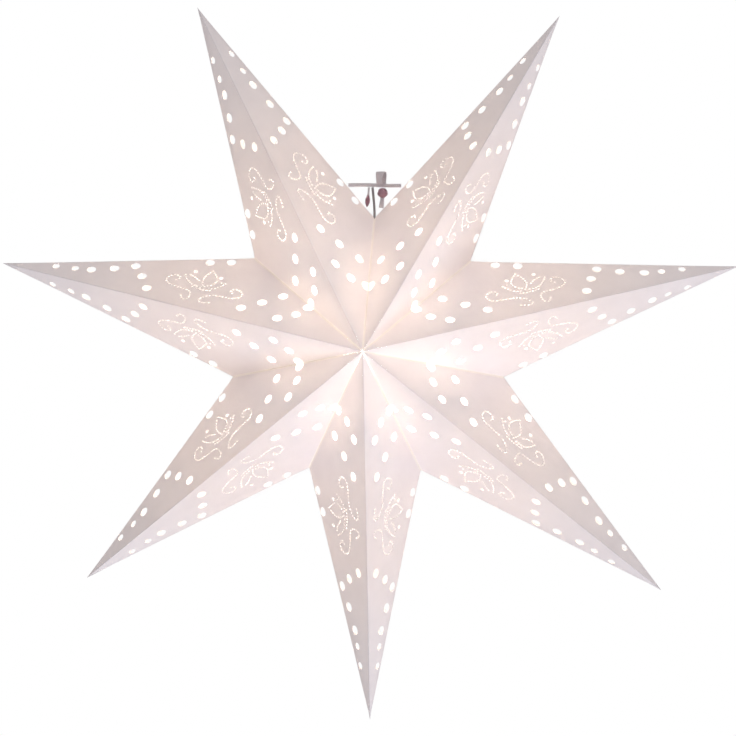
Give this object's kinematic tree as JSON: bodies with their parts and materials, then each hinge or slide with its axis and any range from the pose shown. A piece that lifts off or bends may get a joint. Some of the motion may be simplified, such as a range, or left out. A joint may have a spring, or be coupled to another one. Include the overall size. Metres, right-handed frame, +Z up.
{
  "type": "paper star lantern",
  "caption": "Folded paper star lantern with punched and pin-pricked faces, lit by a lamp inside; it hangs from a tied cord, and its top seam opens so that it folds like a fan.",
  "frame": {"origin": "the middle of the tie cord at the top notch, where a hook takes hold of the star", "axes": "+Z up, the front face of the star looks along -Y, +X to the right as seen from the front"},
  "size_m": [0.5807, 0.1925, 0.5621],
  "materials": {
    "paper": "matte uncoated white paper with a pink tinge, lit from behind",
    "seam_paper": "matte doubled paper with dry glue",
    "opal_glass": "frosted opal glass, glowing warm white",
    "brass": "bright rolled brass",
    "steel": "plated steel",
    "white_plastic": "satin white moulded plastic",
    "mauve_cord": "matte grey-mauve twisted cord",
    "plum_cord": "matte plum cord, pulled tight into a knot",
    "grey_cord": "matte dark grey textile cord"
  },
  "bodies": {
    "tie_and_lamp": {"tie_cord": "mauve_cord", "bow_loop": "mauve_cord", "bow_knot": "plum_cord", "bow_tail_left": "plum_cord", "bow_tail_right": "mauve_cord", "hanging_cord": "grey_cord", "hanging_eye": "steel", "cable_gland": "white_plastic", "lampholder_cap": "white_plastic", "lampholder_shell": "white_plastic", "lampholder_skirt": "white_plastic", "lampholder_sleeve": "brass", "lampholder_contact": "brass"},
    "bulb_carrier": {"bulb_contact": "steel"},
    "bulb": {"bulb_glass": "opal_glass", "bulb_screw_cap": "brass"},
    "point_1_front_left": {"point_1_front_left": "paper", "closing_flap_front_right": "seam_paper"},
    "point_1_back_left": {"point_1_back_left": "paper", "closing_flap_back_right": "seam_paper"},
    "point_1_front_right": {"point_1_front_right": "paper", "seam_tab_1_2_front": "seam_paper"},
    "point_1_back_right": {"point_1_back_right": "paper", "seam_tab_1_2_back": "seam_paper"},
    "point_2_front_left": {"point_2_front_left": "paper"},
    "point_2_back_left": {"point_2_back_left": "paper"},
    "point_2_front_right": {"point_2_front_right": "paper", "seam_tab_2_3_front": "seam_paper"},
    "point_2_back_right": {"point_2_back_right": "paper", "seam_tab_2_3_back": "seam_paper"},
    "point_3_front_left": {"point_3_front_left": "paper"},
    "point_3_back_left": {"point_3_back_left": "paper"},
    "point_3_front_right": {"point_3_front_right": "paper", "seam_tab_3_4_front": "seam_paper"},
    "point_3_back_right": {"point_3_back_right": "paper", "seam_tab_3_4_back": "seam_paper"},
    "point_4_front_left": {"point_4_front_left": "paper"},
    "point_4_back_left": {"point_4_back_left": "paper"},
    "point_4_front_right": {"point_4_front_right": "paper", "seam_tab_4_5_front": "seam_paper"},
    "point_4_back_right": {"point_4_back_right": "paper", "seam_tab_4_5_back": "seam_paper"},
    "point_5_front_left": {"point_5_front_left": "paper"},
    "point_5_back_left": {"point_5_back_left": "paper"},
    "point_5_front_right": {"point_5_front_right": "paper", "seam_tab_5_6_front": "seam_paper"},
    "point_5_back_right": {"point_5_back_right": "paper", "seam_tab_5_6_back": "seam_paper"},
    "point_6_front_left": {"point_6_front_left": "paper"},
    "point_6_back_left": {"point_6_back_left": "paper"},
    "point_6_front_right": {"point_6_front_right": "paper", "seam_tab_6_7_front": "seam_paper"},
    "point_6_back_right": {"point_6_back_right": "paper", "seam_tab_6_7_back": "seam_paper"},
    "point_7_front_left": {"point_7_front_left": "paper"},
    "point_7_back_left": {"point_7_back_left": "paper"},
    "point_7_front_right": {"point_7_front_right": "paper", "closing_flap_front_left": "seam_paper"},
    "point_7_back_right": {"point_7_back_right": "paper", "closing_flap_back_left": "seam_paper"}
  },
  "joints": [
    {"name": "star_fold", "type": "hinge", "parent": "tie_and_lamp", "child": "point_4_front_left", "pos_m": [0, -0.098, -0.13], "axis": [0, -0.3133, 0.9496], "range_deg": [0, 12]},
    {"name": "ridge_4_front", "type": "hinge", "parent": "tie_and_lamp", "child": "point_4_front_right", "pos_m": [0, -0.098, -0.13], "axis": [0, 0.3133, -0.9496], "range_deg": [0, 11.63]},
    {"name": "valley_4_5_front", "type": "hinge", "parent": "point_4_front_right", "child": "point_5_front_left", "pos_m": [0, -0.098, -0.13], "axis": [0.3348, -0.6754, 0.6571], "range_deg": [0, 25.28]},
    {"name": "ridge_5_front", "type": "hinge", "parent": "point_5_front_left", "child": "point_5_front_right", "pos_m": [0, -0.098, -0.13], "axis": [-0.737, 0.3172, -0.5968], "range_deg": [0, 21.57]},
    {"name": "valley_5_6_front", "type": "hinge", "parent": "point_5_front_right", "child": "point_6_front_left", "pos_m": [0, -0.098, -0.13], "axis": [0.7369, -0.6585, 0.1526], "range_deg": [0, 22.22]},
    {"name": "ridge_6_front", "type": "hinge", "parent": "point_6_front_left", "child": "point_6_front_right", "pos_m": [0, -0.098, -0.13], "axis": [-0.9271, 0.3077, 0.214], "range_deg": [0, 21]},
    {"name": "valley_6_7_front", "type": "hinge", "parent": "point_6_front_right", "child": "point_7_front_left", "pos_m": [0, -0.098, -0.13], "axis": [0.6041, -0.6421, -0.472], "range_deg": [0, 21.41]},
    {"name": "ridge_7_front", "type": "hinge", "parent": "point_7_front_left", "child": "point_7_front_right", "pos_m": [0, -0.098, -0.13], "axis": [-0.4307, 0.3059, 0.849], "range_deg": [0, 21.04]},
    {"name": "valley_3_4_front", "type": "hinge", "parent": "point_4_front_left", "child": "point_3_front_right", "pos_m": [0, -0.098, -0.13], "axis": [0.2821, 0.6823, -0.6744], "range_deg": [0, 27.36]},
    {"name": "ridge_3_front", "type": "hinge", "parent": "point_3_front_right", "child": "point_3_front_left", "pos_m": [0, -0.098, -0.13], "axis": [-0.7327, -0.3096, 0.6061], "range_deg": [0, 20.36]},
    {"name": "valley_2_3_front", "type": "hinge", "parent": "point_3_front_left", "child": "point_2_front_right", "pos_m": [0, -0.098, -0.13], "axis": [0.7274, 0.6686, -0.1546], "range_deg": [0, 22.94]},
    {"name": "ridge_2_front", "type": "hinge", "parent": "point_2_front_right", "child": "point_2_front_left", "pos_m": [0, -0.098, -0.13], "axis": [-0.9277, -0.3105, -0.2074], "range_deg": [0, 20.99]},
    {"name": "valley_1_2_front", "type": "hinge", "parent": "point_2_front_left", "child": "point_1_front_right", "pos_m": [0, -0.098, -0.13], "axis": [0.5542, 0.6789, 0.4817], "range_deg": [0, 30.54]},
    {"name": "ridge_1_front", "type": "hinge", "parent": "point_1_front_right", "child": "point_1_front_left", "pos_m": [0, -0.098, -0.13], "axis": [-0.4716, -0.3068, -0.8267], "range_deg": [0, 26.61]},
    {"name": "edge_1_left", "type": "hinge", "parent": "point_1_front_left", "child": "point_1_back_left", "pos_m": [0.15062, 0, 0.13406], "axis": [0.6762, 0, 0.7367], "range_deg": [0, 20.6]},
    {"name": "edge_1_right", "type": "hinge", "parent": "point_1_front_right", "child": "point_1_back_right", "pos_m": [0.15062, 0, 0.13406], "axis": [-0.3413, 0, -0.94], "range_deg": [0, 30.45]},
    {"name": "edge_2_left", "type": "hinge", "parent": "point_2_front_left", "child": "point_2_back_left", "pos_m": [0.29278, 0, -0.06456], "axis": [0.9998, 0, -0.0193], "range_deg": [0, 19.27]},
    {"name": "edge_2_right", "type": "hinge", "parent": "point_2_front_right", "child": "point_2_back_right", "pos_m": [0.29278, 0, -0.06456], "axis": [-0.9039, 0, -0.4278], "range_deg": [0, 21.32]},
    {"name": "edge_3_left", "type": "hinge", "parent": "point_3_front_left", "child": "point_3_back_left", "pos_m": [0.23192, 0, -0.32187], "axis": [0.5951, 0, -0.8036], "range_deg": [0, 19.09]},
    {"name": "edge_3_right", "type": "hinge", "parent": "point_3_front_right", "child": "point_3_back_right", "pos_m": [0.23192, 0, -0.32187], "axis": [-0.8957, 0, 0.4446], "range_deg": [0, 20.42]},
    {"name": "edge_4_left", "type": "hinge", "parent": "point_4_front_left", "child": "point_4_back_left", "pos_m": [0, 0, -0.427], "axis": [-0.1984, 0, -0.9801], "range_deg": [0, 25.2]},
    {"name": "edge_4_right", "type": "hinge", "parent": "point_4_front_right", "child": "point_4_back_right", "pos_m": [0, 0, -0.427], "axis": [-0.2342, 0, 0.9722], "range_deg": [0, 20.37]},
    {"name": "edge_5_left", "type": "hinge", "parent": "point_5_front_left", "child": "point_5_back_left", "pos_m": [-0.2277, 0, -0.31439], "axis": [-0.8954, 0, -0.4452], "range_deg": [0, 22.96]},
    {"name": "edge_5_right", "type": "hinge", "parent": "point_5_front_right", "child": "point_5_back_right", "pos_m": [-0.2277, 0, -0.31439], "axis": [0.5896, 0, 0.8077], "range_deg": [0, 18.78]},
    {"name": "edge_6_left", "type": "hinge", "parent": "point_6_front_left", "child": "point_6_back_left", "pos_m": [-0.29523, 0, -0.06184], "axis": [-0.8981, 0, 0.4398], "range_deg": [0, 21.2]},
    {"name": "edge_6_right", "type": "hinge", "parent": "point_6_front_right", "child": "point_6_back_right", "pos_m": [-0.29523, 0, -0.06184], "axis": [0.9998, 0, 0.0191], "range_deg": [0, 19.51]},
    {"name": "edge_7_left", "type": "hinge", "parent": "point_7_front_left", "child": "point_7_back_left", "pos_m": [-0.13799, 0, 0.142], "axis": [-0.2232, 0, 0.9748], "range_deg": [0, 19.63]},
    {"name": "edge_7_right", "type": "hinge", "parent": "point_7_front_right", "child": "point_7_back_right", "pos_m": [-0.13799, 0, 0.142], "axis": [0.6444, 0, -0.7647], "range_deg": [0, 21.14]},
    {"name": "bulb_travel", "type": "slide", "parent": "tie_and_lamp", "child": "bulb_carrier", "axis": [0, 0, -1], "range_m": [0, 0.01411]},
    {"name": "bulb_turn", "type": "hinge", "parent": "bulb_carrier", "child": "bulb", "pos_m": [0, 0, -0.13], "axis": [0, 0, -1], "range_deg": [0, 1801]}
  ],
  "couplings": [
    {"joint": "ridge_4_front", "follows": "star_fold", "ratio": 0.9678},
    {"joint": "valley_4_5_front", "follows": "star_fold", "ratio": 2.1057},
    {"joint": "ridge_5_front", "follows": "star_fold", "ratio": 1.7965},
    {"joint": "valley_5_6_front", "follows": "star_fold", "ratio": 1.85},
    {"joint": "ridge_6_front", "follows": "star_fold", "ratio": 1.7487},
    {"joint": "valley_6_7_front", "follows": "star_fold", "ratio": 1.7831},
    {"joint": "ridge_7_front", "follows": "star_fold", "ratio": 1.7524},
    {"joint": "valley_3_4_front", "follows": "star_fold", "ratio": 2.2789},
    {"joint": "ridge_3_front", "follows": "star_fold", "ratio": 1.6957},
    {"joint": "valley_2_3_front", "follows": "star_fold", "ratio": 1.9103},
    {"joint": "ridge_2_front", "follows": "star_fold", "ratio": 1.7476},
    {"joint": "valley_1_2_front", "follows": "star_fold", "ratio": 2.5439},
    {"joint": "ridge_1_front", "follows": "star_fold", "ratio": 2.2159},
    {"joint": "edge_1_left", "follows": "star_fold", "ratio": 1.7155},
    {"joint": "edge_1_right", "follows": "star_fold", "ratio": 2.5363},
    {"joint": "edge_2_left", "follows": "star_fold", "ratio": 1.6043},
    {"joint": "edge_2_right", "follows": "star_fold", "ratio": 1.7752},
    {"joint": "edge_3_left", "follows": "star_fold", "ratio": 1.5894},
    {"joint": "edge_3_right", "follows": "star_fold", "ratio": 1.7006},
    {"joint": "edge_4_left", "follows": "star_fold", "ratio": 2.0989},
    {"joint": "edge_4_right", "follows": "star_fold", "ratio": 1.6964},
    {"joint": "edge_5_left", "follows": "star_fold", "ratio": 1.9118},
    {"joint": "edge_5_right", "follows": "star_fold", "ratio": 1.5636},
    {"joint": "edge_6_left", "follows": "star_fold", "ratio": 1.7655},
    {"joint": "edge_6_right", "follows": "star_fold", "ratio": 1.6248},
    {"joint": "edge_7_left", "follows": "star_fold", "ratio": 1.6342},
    {"joint": "edge_7_right", "follows": "star_fold", "ratio": 1.7602},
    {"joint": "bulb_turn", "follows": "bulb_travel", "rad_per_m": 2226.5}
  ]
}
